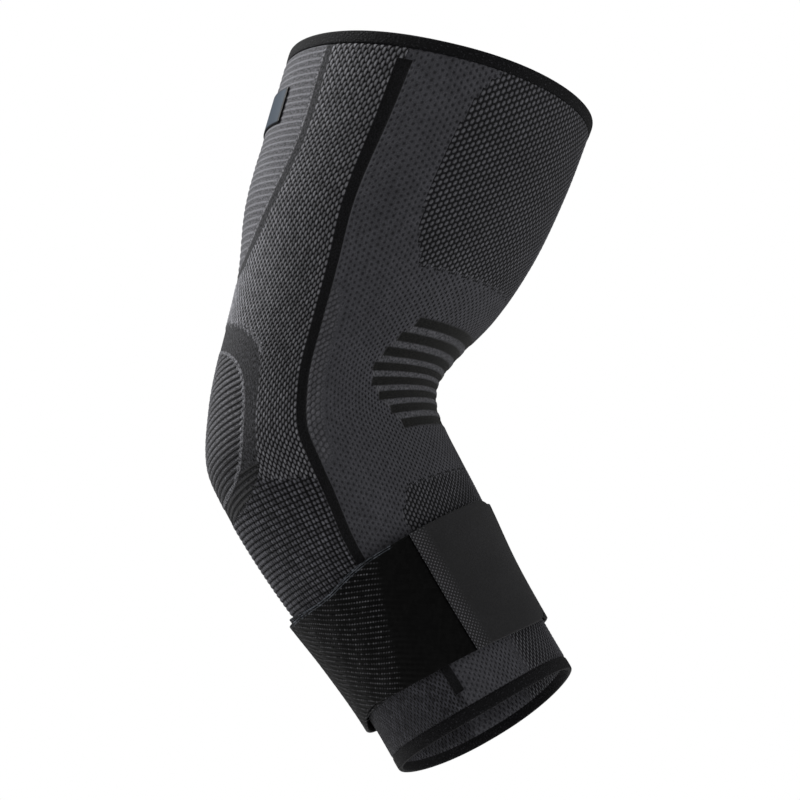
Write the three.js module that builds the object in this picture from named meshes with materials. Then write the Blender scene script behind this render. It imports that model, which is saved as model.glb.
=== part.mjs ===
// Knitted elbow brace in its worn shape, bent at the elbow, with a strap wrapped round the forearm.
// Millimetres, +Z up. The bend lies in the XZ plane: +X is the crook of the arm, -X the point of the
// elbow, -Y the side with the strap's end. The origin is the middle of the arm at the elbow.
import * as THREE from "three";

// Sleeve: lengths are measured along the arm from the elbow, widths from back to front outside
const upperLength = 122;
const foreLength = 127;
const topWidth = 113.8;
const elbowWidth = 82.2;
const endWidth = 69.8;
const knitWall = 2.2;
const squareness = 2.2;

// Rims: how far the top rises at the sides, how far the bottom reaches down on the far side
const topRise = 2.5;
const topRiseReach = 30;
const bottomReach = 10.2;
const bottomSlant = 1.8;
const bottomBlend = 24;

// Hems: knitted bands that end the sleeve
const hemHeight = 4.5;
const hemThickness = 2.8;
const hemProud = 0.35;
const hemRound = 0.8;
const clearance = 0.3;

// Relief of the knit: back panel between the two stripes, stripes, elbow ribs and crook bars
const panelProud = 0.4;
const stripeWidth = 3.6;
const stripeDepth = 0.7;
const stripeEnd = 117.2;
const ribHeight = 0.6;
const ribCourses = 2;
const patchMiddle = -7;
const patchLength = 42;
const patchReach = 53;
const barPitch = 6.67;
const barDepth = 0.4;
const coursesPerBar = 6;
const crookMiddle = 1.85;

// Strap: an elastic band wound once and a half round, its felt end, and their place on the forearm
const strapMiddle = 83.7;
const strapWidth = 43;
const strapThickness = 1.2;
const strapStart = -200;
const strapSeam = 280.5;
const strapClimb = 40;
const tabTurn = 55.5;
const tabThickness = 1.6;
const tabCorner = 6;
const edgeRound = 0.35;

// Label: a bare woven strip across the back of the upper arm, its middle that far below the top edge
const labelDrop = 24.2;
const labelHeight = 13.6;
const labelTurn = 60;
const labelThickness = 0.6;

// Mesh fineness
const frontColumns = 10;
const backColumns = 8;
const rowStep = 8;
const innerRowStep = 13;
const turnStep = 9;

// Sections of the sleeve. at, lead and rise are shares of upperLength above the elbow and of foreLength
// below it: the place along the arm, and the middle's place forwards and up. tilt is the section plane's
// angle in degrees, front end down. swell goes from elbowWidth (0) to the width of that opening (1).
// depth is the side to side width as a share of the back to front one.
const sections = [
  { at: -1.0, lead: 0.447, rise: -0.8785, tilt: -30, swell: 1.0, depth: 0.93 },
  { at: -0.871, lead: 0.381, rise: -0.766, tilt: -29.5, swell: 0.99, depth: 0.93 },
  { at: -0.685, lead: 0.281, rise: -0.6075, tilt: -29, swell: 0.75, depth: 0.93 },
  { at: -0.501, lead: 0.184, rise: -0.452, tilt: -27, swell: 0.28, depth: 0.93 },
  { at: -0.316, lead: 0.09, rise: -0.296, tilt: -22, swell: -0.02, depth: 0.94 },
  { at: -0.206, lead: 0.037, rise: -0.199, tilt: -18.5, swell: -0.14, depth: 0.94 },
  { at: -0.116, lead: 0.003, rise: -0.116, tilt: -14.5, swell: -0.21, depth: 0.95 },
  { at: 0, lead: 0.004, rise: 0, tilt: -6, swell: 0, depth: 0.95 },
  { at: 0.077, lead: 0.022, rise: 0.075, tilt: 0, swell: -0.01, depth: 0.95 },
  { at: 0.175, lead: 0.061, rise: 0.165, tilt: 4.5, swell: 0.09, depth: 0.95 },
  { at: 0.326, lead: 0.13, rise: 0.299, tilt: 8, swell: 0.375, depth: 0.94 },
  { at: 0.533, lead: 0.198, rise: 0.494, tilt: 10.4, swell: 0.76, depth: 0.93 },
  { at: 0.765, lead: 0.278, rise: 0.712, tilt: 11.2, swell: 0.925, depth: 0.93 },
  { at: 1.0, lead: 0.351, rise: 0.936, tilt: 13, swell: 1.0, depth: 0.93 },
];

// Angle of the stripe from the crook, in degrees, at shares of the two lengths as above
const stripePath = [
  { at: -1.0, angle: 95.5 },
  { at: -0.83, angle: 96 },
  { at: -0.49, angle: 102 },
  { at: -0.27, angle: 97.5 },
  { at: -0.08, angle: 96.5 },
  { at: 0.1, angle: 98 },
  { at: 0.35, angle: 103 },
  { at: 1.0, angle: 99.5 },
];

// Reach of each crook bar to either side of the crook, in degrees, from the top bar down
const crookBars = [58, 62, 65, 67.5, 66.3, 62, 56, 52];

// The strap from its hidden start to the end of its felt: turn is the angle wound, in degrees from the
// crook, middle its place below the elbow as a share of strapMiddle, width a share of strapWidth
const strapPath = [
  { turn: -200, middle: 1.05, width: 0.98 },
  { turn: -180, middle: 1.05, width: 0.98 },
  { turn: -130, middle: 1.042, width: 0.9 },
  { turn: -100, middle: 1.002, width: 0.95 },
  { turn: -75, middle: 1.004, width: 0.95 },
  { turn: 0, middle: 1.03, width: 1.08 },
  { turn: 90, middle: 1.05, width: 1.0 },
  { turn: 180, middle: 1.08, width: 1.0 },
  { turn: 215, middle: 1.047, width: 0.88 },
  { turn: 235, middle: 1.045, width: 0.91 },
  { turn: 260, middle: 1.023, width: 1.01 },
  { turn: 285, middle: 1.017, width: 1.065 },
  { turn: 310, middle: 1.018, width: 1.11 },
  { turn: 336, middle: 1.02, width: 1.12 },
];

const smooth = (t) => THREE.MathUtils.smoothstep(t, 0, 1);
const radians = THREE.MathUtils.degToRad;

// Place along the arm of a table row, in millimetres from the elbow, positive upwards
const placeOf = (row) => row.at * (row.at > 0 ? upperLength : foreLength);

// Smooth curve through a table's values: a cubic between rows, its slope at a row the mean of both sides
function through(places, values) {
  const slopes = places.slice(1).map((p, i) => (values[i + 1] - values[i]) / (p - places[i]));
  const slopeAt = places.map((p, i) => {
    const before = slopes[Math.max(i - 1, 0)];
    const after = slopes[Math.min(i, slopes.length - 1)];
    return (before + after) / 2;
  });
  return (place) => {
    let i = places.findIndex((p) => p > place) - 1;
    if (i < 0) i = place < places[0] ? 0 : places.length - 2;
    const span = places[i + 1] - places[i];
    const t = (place - places[i]) / span;
    const rise = values[i + 1] - values[i];
    const start = values[i] + rise * t * t * (3 - 2 * t);
    return start + span * t * (1 - t) * (slopeAt[i] * (1 - t) - slopeAt[i + 1] * t);
  };
}

function sectionCurves() {
  const places = sections.map(placeOf);
  const lengthOf = (row) => (row.at > 0 ? upperLength : foreLength);
  const openingOf = (row) => (row.at > 0 ? topWidth : endWidth);
  const halves = sections.map((row) => (elbowWidth + (openingOf(row) - elbowWidth) * row.swell) / 2);
  return {
    x: through(places, sections.map((row) => row.lead * lengthOf(row))),
    z: through(places, sections.map((row) => row.rise * lengthOf(row))),
    tilt: through(places, sections.map((row) => row.tilt)),
    half: through(places, halves),
    side: through(places, sections.map((row, i) => halves[i] * row.depth)),
  };
}

const curves = sectionCurves();
const stripeAngle = through(stripePath.map(placeOf), stripePath.map((row) => row.angle));

// Point on the sleeve: place along the arm, angle from the crook in degrees, height over the knit's face
function skin(place, angle, height = 0) {
  const tilt = radians(curves.tilt(place));
  const across = Math.cos(radians(angle));
  const sideways = Math.sin(radians(angle));
  const power = 2 / squareness;
  const forward = (curves.half(place) + height) * Math.sign(across) * Math.abs(across) ** power;
  const y = (curves.side(place) + height) * Math.sign(sideways) * Math.abs(sideways) ** power;
  const rise = topRise * sideways ** 2 * smooth((place - upperLength + topRiseReach) / topRiseReach);
  const reach = bottomReach * ((1 + sideways) / 2) ** bottomSlant;
  const drop = reach * smooth((bottomBlend - foreLength - place) / bottomBlend);
  const along = rise - drop;
  return new THREE.Vector3(
    curves.x(place) + forward * Math.cos(tilt) + along * Math.sin(tilt),
    y,
    curves.z(place) - forward * Math.sin(tilt) + along * Math.cos(tilt),
  );
}

// Solid from rows of points, each row a closed loop; the rows close on each other, or end in flat caps
function loft(rows, closed) {
  const count = rows[0].length;
  const points = rows.flat();
  const faces = [];
  const bands = closed ? rows.length : rows.length - 1;
  for (let i = 0; i < bands; i++) {
    for (let j = 0; j < count; j++) {
      const a = i * count + j;
      const b = i * count + ((j + 1) % count);
      const c = ((i + 1) % rows.length) * count + ((j + 1) % count);
      const d = ((i + 1) % rows.length) * count + j;
      faces.push(a, b, c, a, c, d);
    }
  }
  if (!closed) {
    const last = (rows.length - 1) * count;
    for (let j = 1; j < count - 1; j++) {
      faces.push(0, j + 1, j);
      faces.push(last, last + j, last + j + 1);
    }
  }
  const geometry = new THREE.BufferGeometry().setFromPoints(points);
  geometry.setIndex(faces);
  geometry.computeVertexNormals();
  return geometry;
}

function mesh(name, geometry, color, roughness) {
  const material = new THREE.MeshStandardMaterial({ color, roughness, metalness: 0 });
  const made = new THREE.Mesh(geometry, material);
  made.name = name;
  return made;
}

// Column angles of the sleeve at one place: the stripes' edges are columns of their own on both sides
function columnAngles(place) {
  const middle = stripeAngle(place);
  const half = THREE.MathUtils.radToDeg(stripeWidth / 2 / curves.side(place));
  const edges = [middle - half, middle - half / 2, middle + half / 2, middle + half];
  const side = [];
  for (let i = 0; i < frontColumns; i++) side.push((edges[0] * i) / frontColumns);
  side.push(...edges);
  for (let i = 1; i <= backColumns; i++) side.push(edges[3] + ((180 - edges[3]) * i) / backColumns);
  const mirrored = side.slice(1, -1).reverse().map((angle) => -angle);
  return [...side, ...mirrored];
}

const course = barPitch / coursesPerBar;
const barRow = (place) => Math.round((place - crookMiddle) / course);

// Height of the knit's relief over its face at one place and angle
function relief(place, angle) {
  const turn = Math.abs(angle);
  const fromStripe = ((turn - stripeAngle(place)) * Math.PI * curves.side(place)) / 180;
  const striped = place > -stripeEnd;
  if (striped && Math.abs(fromStripe) < stripeWidth / 3) return -stripeDepth;
  if (fromStripe > 0) {
    const inPatch = Math.hypot(2 * (place - patchMiddle) / patchLength, (180 - turn) / patchReach) < 1;
    const crest = Math.abs(barRow(place)) % ribCourses === 0;
    return panelProud + (inPatch && !crest ? -ribHeight : 0);
  }
  const bar = crookBars.length / 2 - (place - crookMiddle) / barPitch;
  const reach = crookBars[Math.floor(bar)];
  const ridge = Math.abs(barRow(place)) % coursesPerBar === 0;
  return reach && turn < reach && !ridge ? -barDepth : 0;
}

// Even steps from one place up to another, both ends included, none longer than the step given
function steps(from, to, step) {
  const count = Math.max(1, Math.ceil((to - from) / step));
  return Array.from({ length: count + 1 }, (_, i) => from + ((to - from) * i) / count);
}

const knitTop = upperLength - hemHeight - clearance;
const knitBottom = -(foreLength - hemHeight - clearance);

function knitSleeve() {
  const ribbed = (crookBars.length * coursesPerBar) / 2 + 1;
  const ribTop = crookMiddle + ribbed * course;
  const ribBottom = crookMiddle - ribbed * course;
  const outer = [
    ...steps(knitBottom, -stripeEnd, rowStep),
    ...steps(-stripeEnd + clearance, ribBottom, rowStep),
    ...steps(ribBottom, ribTop, course).slice(1, -1),
    ...steps(ribTop, knitTop, rowStep),
  ];
  const inner = steps(knitBottom, knitTop, innerRowStep).reverse();
  const rowAt = (place, heightAt) => columnAngles(place).map((angle) => skin(place, angle, heightAt(place, angle)));
  return loft(
    [...outer.map((place) => rowAt(place, relief)), ...inner.map((place) => rowAt(place, () => -knitWall))],
    true,
  );
}

// Hem between two places along the arm: a rounded band, a little proud of the knit outside and inside
function hem(low, high) {
  const outside = hemProud;
  const inside = hemProud - hemThickness;
  const outline = [
    [low, inside + hemRound],
    [low, outside - hemRound],
    [low + hemRound, outside],
    [high - hemRound, outside],
    [high, outside - hemRound],
    [high, inside + hemRound],
    [high - hemRound, inside],
    [low + hemRound, inside],
  ];
  return loft(outline.map(([place, height]) => columnAngles(place).map((angle) => skin(place, angle, height))), true);
}

// Strip wound on the sleeve: at each angle a flat section with eased edges, from a place, width and height
function strip(angles, middleAt, widthAt, heightAt, thickness) {
  const rows = angles.map((angle) => {
    const middle = middleAt(angle);
    const half = widthAt(angle) / 2;
    const low = heightAt(angle);
    const high = low + thickness;
    const outline = [
      [-half + edgeRound, low],
      [0, low],
      [half - edgeRound, low],
      [half, low + edgeRound],
      [half, high - edgeRound],
      [half - edgeRound, high],
      [0, high],
      [-half + edgeRound, high],
      [-half, high - edgeRound],
      [-half, low + edgeRound],
    ];
    return outline.map(([offset, height]) => skin(middle + offset, angle, height));
  });
  return loft(rows, false);
}

// The strap's second turn lies on its first, after a climb over the hidden start
const strapSeat = panelProud + clearance;
const overlapAngle = strapStart + 360;
const strapHeight = (angle) =>
  strapSeat + (strapThickness + clearance) * smooth((angle - overlapAngle + 1.2 * strapClimb) / strapClimb);

const turns = strapPath.map((row) => row.turn);
const middleShare = through(turns, strapPath.map((row) => row.middle));
const widthShare = through(turns, strapPath.map((row) => row.width));
const strapLine = (angle) => -strapMiddle * middleShare(angle);
const strapBreadth = (angle) => strapWidth * widthShare(angle);

function elasticStrap() {
  const angles = steps(strapStart, strapSeam, turnStep);
  return strip(angles, strapLine, strapBreadth, strapHeight, strapThickness);
}

// Felt end of the strap, its two free corners rounded
function strapTab() {
  const radius = curves.side(-strapMiddle);
  const seamGap = THREE.MathUtils.radToDeg(clearance / radius);
  const corner = THREE.MathUtils.radToDeg(tabCorner / radius);
  const first = strapSeam + seamGap;
  const last = strapSeam + tabTurn;
  const rounded = [0, 0.35, 0.7, 0.9, 0.98].map((share) => last - corner * (1 - share));
  const cut = (angle) => {
    const share = Math.max(0, (angle - last + corner) / corner);
    return tabCorner * (1 - Math.sqrt(1 - share ** 2));
  };
  const width = (angle) => strapBreadth(angle) - 2 * cut(angle);
  const angles = [...steps(first, last - corner, turnStep).slice(0, -1), ...rounded];
  return strip(angles, strapLine, width, strapHeight, tabThickness);
}

function backLabel() {
  const angles = steps(180 - labelTurn / 2, 180 + labelTurn / 2, turnStep);
  return strip(angles, () => upperLength - labelDrop, () => labelHeight, () => panelProud + clearance, labelThickness);
}

const brace = new THREE.Group();
brace.add(mesh("knit_sleeve", knitSleeve(), 0x343436, 0.95));
brace.add(mesh("top_hem", hem(knitTop + clearance, upperLength), 0x1b1b1d, 0.9));
brace.add(mesh("bottom_hem", hem(-foreLength, knitBottom - clearance), 0x1b1b1d, 0.9));
brace.add(mesh("strap", elasticStrap(), 0x0e0e0f, 0.8));
brace.add(mesh("strap_tab", strapTab(), 0x232324, 0.95));
brace.add(mesh("label", backLabel(), 0x4a5560, 0.5));

export default brace;
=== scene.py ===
# %% [markdown]
# A knitted elbow brace in its worn shape, with an elastic strap wound on the forearm.
# The imported CAD model is the fixed frame: its solids give each piece its place and its size.
# Here each solid is covered by a finer surface that carries the stitches, ribs and weave of the real cloth.

# %% Load the imported model
import math

import bpy
import numpy as np
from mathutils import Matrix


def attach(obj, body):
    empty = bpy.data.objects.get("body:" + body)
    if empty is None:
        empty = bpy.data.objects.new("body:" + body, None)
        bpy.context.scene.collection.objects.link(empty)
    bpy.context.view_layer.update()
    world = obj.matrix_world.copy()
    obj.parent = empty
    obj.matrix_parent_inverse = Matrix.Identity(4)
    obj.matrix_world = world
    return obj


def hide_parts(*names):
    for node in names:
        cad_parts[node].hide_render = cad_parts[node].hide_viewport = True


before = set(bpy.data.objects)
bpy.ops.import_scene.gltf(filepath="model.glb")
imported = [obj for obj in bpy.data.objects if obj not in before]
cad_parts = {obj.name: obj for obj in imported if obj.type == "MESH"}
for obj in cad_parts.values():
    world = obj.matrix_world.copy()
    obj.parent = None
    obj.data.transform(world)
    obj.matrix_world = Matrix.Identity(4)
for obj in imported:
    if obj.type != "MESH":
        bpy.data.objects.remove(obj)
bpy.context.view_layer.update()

# %% [markdown]
# The sleeve is one surface with two parameters: the place along the arm in millimetres from the elbow, and
# the angle round the arm in degrees from the crook. The tables repeat the part's own sizes, so every piece
# here lies on the solid that it stands for. Only the wall, the hems and the label's height are drawn a
# little smaller than the solids', as they look on the real cloth. A curve runs smoothly through each column
# of a table. A sculpted mesh could have this shape too, but a formula lets every loop find its own place.

# %% The sleeve's sizes, in millimetres
UPPER_LENGTH = 122.0
FORE_LENGTH = 127.0
TOP_WIDTH = 113.8
ELBOW_WIDTH = 82.2
END_WIDTH = 69.8
KNIT_WALL = 1.6
SQUARENESS = 2.2
TOP_RISE, TOP_RISE_REACH = 2.5, 30.0
BOTTOM_REACH, BOTTOM_SLANT, BOTTOM_BLEND = 10.2, 1.8, 24.0
HEM_HEIGHT, HEM_THICKNESS, HEM_PROUD = 4.5, 1.9, 0.35
CLEARANCE = 0.3
PANEL_PROUD = 0.4
STRIPE_END = -117.2

# place as a share of the length, lead, rise, tilt in degrees, swell, depth
SECTIONS = np.array([
    [-1.0, 0.447, -0.8785, -30, 1.0, 0.93],
    [-0.871, 0.381, -0.766, -29.5, 0.99, 0.93],
    [-0.685, 0.281, -0.6075, -29, 0.75, 0.93],
    [-0.501, 0.184, -0.452, -27, 0.28, 0.93],
    [-0.316, 0.09, -0.296, -22, -0.02, 0.94],
    [-0.206, 0.037, -0.199, -18.5, -0.14, 0.94],
    [-0.116, 0.003, -0.116, -14.5, -0.21, 0.95],
    [0, 0.004, 0, -6, 0, 0.95],
    [0.077, 0.022, 0.075, 0, -0.01, 0.95],
    [0.175, 0.061, 0.165, 4.5, 0.09, 0.95],
    [0.326, 0.13, 0.299, 8, 0.375, 0.94],
    [0.533, 0.198, 0.494, 10.4, 0.76, 0.93],
    [0.765, 0.278, 0.712, 11.2, 0.925, 0.93],
    [1.0, 0.351, 0.936, 13, 1.0, 0.93],
])
STRIPE_PATH = np.array([
    [-1.0, 95.5], [-0.83, 96], [-0.49, 102], [-0.27, 97.5],
    [-0.08, 96.5], [0.1, 98], [0.35, 103], [1.0, 99.5],
])
print("sleeve", UPPER_LENGTH + FORE_LENGTH, "mm along the arm")

# %% Curves through the tables


def smooth(t):
    """3t² - 2t³ with t held between 0 and 1: a soft step."""
    t = np.clip(t, 0.0, 1.0)
    return t * t * (3 - 2 * t)


def through(places, values):
    """A curve through a table: a cubic between rows, whose slope at a row is the mean of both sides."""
    places, values = np.asarray(places, float), np.asarray(values, float)
    slopes = np.diff(values) / np.diff(places)
    slope_at = (np.append(slopes[0], slopes) + np.append(slopes, slopes[-1])) / 2

    def curve(place):
        i = np.clip(np.searchsorted(places, place, side="right") - 1, 0, len(places) - 2)
        span = places[i + 1] - places[i]
        t = (place - places[i]) / span
        eased = values[i] + (values[i + 1] - values[i]) * t * t * (3 - 2 * t)
        return eased + span * t * (1 - t) * (slope_at[i] * (1 - t) - slope_at[i + 1] * t)

    return curve


def curve_of(table):
    """The curve through the two columns of a table."""
    return through(table[:, 0], table[:, 1])


def along_the_arm(share):
    """Millimetres from the elbow: a share of the upper length above it, and of the fore length below."""
    return share * np.where(share > 0, UPPER_LENGTH, FORE_LENGTH)


rows_at = along_the_arm(SECTIONS[:, 0])
length_at = np.where(SECTIONS[:, 0] > 0, UPPER_LENGTH, FORE_LENGTH)
opening_at = np.where(SECTIONS[:, 0] > 0, TOP_WIDTH, END_WIDTH)
halves = (ELBOW_WIDTH + (opening_at - ELBOW_WIDTH) * SECTIONS[:, 4]) / 2
lead = through(rows_at, SECTIONS[:, 1] * length_at)
rise = through(rows_at, SECTIONS[:, 2] * length_at)
tilt = through(rows_at, SECTIONS[:, 3])
half_width = through(rows_at, halves)
half_depth = through(rows_at, halves * SECTIONS[:, 5])
stripe_angle = through(along_the_arm(STRIPE_PATH[:, 0]), STRIPE_PATH[:, 1])


def skin(place, angle, height=0.0):
    """Points on the sleeve. Each section is a squarish ellipse, whose cosine and sine are raised to a power,
    grown by the height over the cloth's face, in a plane that leans with the arm. The top rim rises at the
    sides by the sine squared, and the bottom one drops on the far side."""
    place, angle, height = np.broadcast_arrays(place, angle, height)
    lean = np.radians(tilt(place))
    across, sideways = np.cos(np.radians(angle)), np.sin(np.radians(angle))
    power = 2 / SQUARENESS
    forward = (half_width(place) + height) * np.sign(across) * np.abs(across) ** power
    side = (half_depth(place) + height) * np.sign(sideways) * np.abs(sideways) ** power
    lift = TOP_RISE * sideways ** 2 * smooth((place - UPPER_LENGTH + TOP_RISE_REACH) / TOP_RISE_REACH)
    reach = BOTTOM_REACH * ((1 + sideways) / 2) ** BOTTOM_SLANT
    along = lift - reach * smooth((BOTTOM_BLEND - FORE_LENGTH - place) / BOTTOM_BLEND)
    x = lead(place) + forward * np.cos(lean) + along * np.sin(lean)
    z = rise(place) - forward * np.sin(lean) + along * np.cos(lean)
    return np.stack([x, side, z], axis=-1)


def arc(place, degrees):
    """Millimetres round the sleeve for an angle, with the section's mean radius."""
    return np.radians(degrees) * (half_width(place) + half_depth(place)) / 2


print("sleeve", round(float(half_width(0.0)) * 2), "mm wide at the elbow")

# %% [markdown]
# The knit changes its pattern from zone to zone: two stripes, a patch over the elbow with ribs in it, one
# over the back of the upper arm, an open net in front, black bars in the crook, and a waffle knit below the
# elbow. A zone is held as a signed distance to its edge in millimetres, positive inside. The same numbers
# lift the surface and, stored on the mesh, give the material sharp edges.

# %% Edges of the zones
STRIPE_WIDTH = np.array([[-127, 2.9], [-60, 3.2], [0, 3.1], [60, 3.8], [100, 4.8], [122, 5.5]])
stripe_width = curve_of(STRIPE_WIDTH)
STRIPE_TOP = 113.8
ARM_PATCH_EDGE = np.array([
    [30, 215], [36, 185], [39, 171], [42, 161], [45.5, 154.6], [54, 144.8], [64.5, 137.5], [79, 132.5],
    [91, 131.2], [106, 131.4], [122, 131.2],
])
arm_patch_edge = curve_of(ARM_PATCH_EDGE)
NET_EDGE = np.array([
    [30, 66], [47, 72.5], [59, 78.1], [71, 79.3], [83, 79.4], [94, 78.2], [108.5, 74.6], [122, 65],
])
net_edge = curve_of(NET_EDGE)
NET_BOTTOM = 46.5
LOW_NET_TOP = -45.5
LOW_NET_EDGE, LOW_NET_SPREAD, LOW_NET_FROM, LOW_NET_REACH = 66.6, 9.8, -44.4, 12.2
FADED_EDGE, FADING = 58.0, 0.04
PLAIN_TOP = -90.0
ELBOW_PATCH = {"middle": -6.0, "up": 28.5, "down": 27.0, "reach": 61.0, "power": 3.0}
RIBBED_FIELD = {"middle": -7.0, "up": 22.0, "down": 20.5, "reach": 53.5, "power": 2.6}
WAFFLE_TOP = np.array([[90, -33], [100, -31.5], [108, -29.4], [134, -24], [180, -24]])
waffle_top = curve_of(WAFFLE_TOP)
CROOK_MIDDLE, BAR_PITCH, BAR_HEIGHT = 2.1, 6.8, 4.1
CROOK_BARS = np.array([58, 62, 65, 67.5, 66.3, 62, 56, 52])
MIDDLE_BAR = (len(CROOK_BARS) - 1) / 2
CROOK_REACH = 3.8 * BAR_PITCH
print("crook bars:", len(CROOK_BARS), "elbow patch:", 2 * ELBOW_PATCH["reach"], "degrees wide")

# %% Distances inside the zones


def from_stripe(place, turn):
    """Distance from the stripe's middle, positive to the back."""
    return arc(place, turn - stripe_angle(place))


def in_stripe(place, turn):
    """Distance inside the stripe, which is wide at the top and ends square near both hems."""
    across = stripe_width(place) / 2 - np.abs(from_stripe(place, turn))
    return np.minimum(across, np.minimum(place - STRIPE_END, STRIPE_TOP - place))


def in_arm_patch(place, turn):
    """Distance inside the patch on the back of the upper arm, its edge a curve of angle over place, divided
    by the length of its slope so that the border keeps its width where the edge turns."""
    low = np.maximum(place, ARM_PATCH_EDGE[0, 0] + 1)
    slope = arc(low, arm_patch_edge(low + 0.5) - arm_patch_edge(low - 0.5))
    return arc(low, turn - arm_patch_edge(low)) / np.sqrt(1 + slope ** 2)


def in_oval(place, turn, oval):
    """Distance inside an oval on the elbow, an ellipse with squared shoulders: one less the root of the sum
    of both shares, each raised to a power, times the half height."""
    reach = np.where(place > oval["middle"], oval["up"], oval["down"])
    tall = np.abs(place - oval["middle"]) / reach
    wide = (180 - turn) / oval["reach"]
    return (1 - (tall ** oval["power"] + wide ** oval["power"]) ** (1 / oval["power"])) * reach


def in_waffle(place, turn):
    """Distance below the line where the waffle knit starts."""
    return waffle_top(turn) - place


def in_net(place, turn):
    """Distance inside the open net on the front of the upper arm."""
    return np.minimum(arc(place, net_edge(place) - turn), place - NET_BOTTOM)


def in_low_net(place, turn):
    """Distance inside the open net on the front of the forearm. Below the strap its edge fades over 7 mm."""
    edge = LOW_NET_EDGE + LOW_NET_SPREAD * smooth((LOW_NET_FROM - place) / LOW_NET_REACH)
    faded = FADING * arc(place, FADED_EDGE - turn)
    return np.where(place < PLAIN_TOP, faded, np.minimum(arc(place, edge - turn), LOW_NET_TOP - place))


def in_crook(place, turn):
    """Distance inside the field of bars and the thin ridges between them."""
    middles = CROOK_MIDDLE + (np.arange(len(CROOK_BARS)) - MIDDLE_BAR) * BAR_PITCH
    reach = np.interp(place, middles, CROOK_BARS[::-1])
    return np.minimum(CROOK_REACH - np.abs(place - CROOK_MIDDLE), arc(place, reach - turn))


def in_bars(place, turn):
    """Distance inside the nearest bar of the crook."""
    nearest = np.round(MIDDLE_BAR - (place - CROOK_MIDDLE) / BAR_PITCH)
    bar = np.clip(nearest, 0, len(CROOK_BARS) - 1).astype(int)
    middle = CROOK_MIDDLE + (MIDDLE_BAR - bar) * BAR_PITCH
    return np.minimum(BAR_HEIGHT / 2 - np.abs(place - middle), arc(place, CROOK_BARS[bar] - turn))


print("the stripe's middle is", round(float(in_stripe(0.0, stripe_angle(0.0))), 2), "mm inside its edges")

# %% [markdown]
# A knit is rows and columns of loops. Each column is pushed half a row against its neighbour, so the loops
# lie like scales, and each leans a little. The count of columns stays the same all the way down the arm, so
# they draw closer where the arm is thin, as stretched cloth does. Real loops of yarn could be modelled one
# by one, but thousands of them would be heavy, so each is a dome on the surface, worked out from its number.

# %% Rows and columns of the knit
KNIT_TOP = UPPER_LENGTH - HEM_HEIGHT - CLEARANCE
KNIT_BOTTOM = -(FORE_LENGTH - HEM_HEIGHT - CLEARANCE)
TUCK = 1.6
COARSE = 4
ROW_SAMPLES = 4000
BACK_COLUMNS, FRONT_COLUMNS = 60, 60
BACK_ROWS = np.array([[-127, 2.25], [-60, 2.2], [-25, 2.25], [0, 2.3], [40, 2.6], [122, 3.1]])
FRONT_ROWS = np.array([[-127, 2.4], [0, 2.3], [40, 2.35], [122, 2.6]])


def places_of_rows(table, per_row):
    """Places of the grid's rows and their row numbers: the sum of one over the row height, from the bottom
    up, stretched to a whole number that the coarse inner grid divides, so the last row ends at the hem."""
    height = curve_of(table)
    places = np.linspace(KNIT_BOTTOM - TUCK, KNIT_TOP + TUCK, ROW_SAMPLES)
    number = np.concatenate([[0], np.cumsum(np.diff(places) / height((places[1:] + places[:-1]) / 2))])
    whole = COARSE * round(number[-1] / COARSE)
    rows = np.arange(whole * per_row + 1) / per_row
    return np.interp(rows, number * whole / number[-1], places), rows


def nearest_loop(column, row):
    """Column and row of the middle of the loop that a point lies in."""
    number = np.round(column)
    return number, np.round(row - number / 2) + number / 2


def stitch(column, row, lean, wide, tall, push=0.5):
    """One less the squared distance from the nearest loop's middle, in shares of its half width and height.
    Each column is pushed by a share of a row on the last one, and the loops lean by a share of their
    height."""
    number = np.round(column)
    x = column - number
    y = row - number * push
    y = y - np.round(y)
    return 1 - ((x - lean * y) / wide) ** 2 - (y / tall) ** 2


print("columns of loops from stripe to back:", BACK_COLUMNS, "from crook to stripe:", FRONT_COLUMNS)

# %% [markdown]
# Each kind of stitch has its own shape, given as its lean, half width and half height in shares of a column
# and a row. A loop is a low dome. Below the elbow wider bricks stand in pairs between furrows. The ribs of
# the two patches are rounded rolls, and those over the elbow sink towards the back as the cloth bends there.

# %% Shapes of the loops
PANEL_LOOP = (-0.16, 0.5, 0.44)
WAFFLE_BRICK = (0.2, 0.5, 0.46, 0.0)
BRICK_COLUMNS, BRICKS_PER_ROW = 1.5, 1.25
FURROW_COLUMNS, FURROW_SHIFT = 3, 0.25
PINHOLE = (0.0, 0.34, 0.3)
NET_LOOP = (-0.2, 0.43, 0.42)
CHAIN_LOOP = (-0.3, 0.48, 0.44)
RIB_PITCH, RIB_SLANT, RIB_SAG, SAG_FROM = 1.8, 5.0, 2.0, 120.0
ARM_RIB_PITCH = 2.4
ARM_BORDER = 1.6
CHAIN_TOP, CHAIN_BOTTOM, CHAIN_FADE, CHAIN_WIDTH = 40.0, -34.0, 14.0, 7.0


def step_up(distance, width=0.6):
    """Soft step over an edge, from 0 outside to 1 inside."""
    return smooth(distance / width + 0.5)


def chain(place, turn):
    """Share of the raised chain of loops in front of the stripe at the elbow: 1 beside the stripe, fading
    to the front and towards both ends."""
    off = np.abs(from_stripe(place, turn)) - stripe_width(place) / 2
    ends = smooth((CHAIN_TOP - place) / CHAIN_FADE) * smooth((place - CHAIN_BOTTOM) / CHAIN_FADE)
    return ends * smooth(1 - off / CHAIN_WIDTH)


def ridge(place, pitch, sharp):
    """Rolls across the arm, 0 to 1: a raised cosine, narrowed by a power."""
    return (0.5 + 0.5 * np.cos(2 * np.pi * place / pitch)) ** sharp


def rib_place(place, turn):
    """Place counted along the elbow's ribs, which sink towards the back: a slant plus a sag by the square."""
    behind = np.maximum(turn - SAG_FROM, 0) / (180 - SAG_FROM)
    return place + RIB_SLANT * behind + RIB_SAG * behind ** 2


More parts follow.
